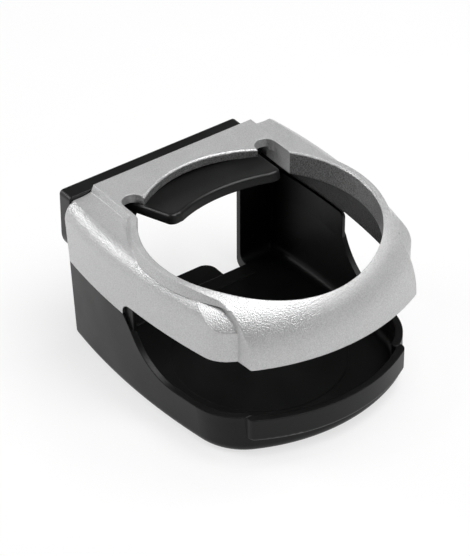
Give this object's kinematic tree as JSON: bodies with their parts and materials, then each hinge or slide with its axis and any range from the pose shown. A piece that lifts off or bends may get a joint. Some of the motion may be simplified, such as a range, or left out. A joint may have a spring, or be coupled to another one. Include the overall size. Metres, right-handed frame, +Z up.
{
  "type": "car cup holder",
  "caption": "Cup holder for a car's air vent: a ring with a sprung flap over an open tray, with turning louvre hooks on a sliding plate and a foot that slides out at the back.",
  "frame": {"origin": "where the ring's axis meets the plane that the base rests on", "axes": "+Z up along the ring's axis, +Y towards the air vent, -Y towards the round nose"},
  "size_m": [0.084, 0.1069, 0.0537],
  "materials": {
    "silver": "satin",
    "black": "matte",
    "steel": "satin",
    "rubber": "matte"
  },
  "bodies": {
    "holder": {"bezel": "silver", "basket": "black", "gripper_pin": "steel", "gripper_spring_left": "steel", "gripper_spring_right": "steel", "rear_screws": "steel", "foot_retainer": "black", "retainer_screws": "steel"},
    "gripper": {"gripper_flap": "black"},
    "bracket": {"vent_bracket": "black", "slide_stop": "black"},
    "left_hook": {"hook_left": "black", "hook_pad_left": "rubber", "hook_screw_left": "steel"},
    "right_hook": {"hook_right": "black", "hook_pad_right": "rubber", "hook_screw_right": "steel"},
    "foot": {"levelling_foot": "black"}
  },
  "joints": [
    {"name": "gripper_hinge", "type": "hinge", "parent": "holder", "child": "gripper", "pos_m": [0, 0.0385, 0.0467], "axis": [1, 0, 0], "range_deg": [0, 95], "stiffness_Nm_per_rad": 0.01, "springref_deg": -68.75, "deforming": ["gripper_spring_left", "gripper_spring_right"]},
    {"name": "bracket_slide", "type": "slide", "parent": "holder", "child": "bracket", "axis": [1, 0, 0], "range_m": [-0.001, 0.0116]},
    {"name": "hook_left_turn", "type": "hinge", "parent": "bracket", "child": "left_hook", "pos_m": [-0.0212, 0.0499, 0.0345], "axis": [0, 1, 0], "range_deg": [0, 90]},
    {"name": "hook_right_turn", "type": "hinge", "parent": "bracket", "child": "right_hook", "pos_m": [0.0108, 0.0499, 0.0345], "axis": [0, 1, 0], "range_deg": [0, 90]},
    {"name": "foot_slide", "type": "slide", "parent": "holder", "child": "foot", "axis": [0, 1, 0], "range_m": [0, 0.018]}
  ]
}
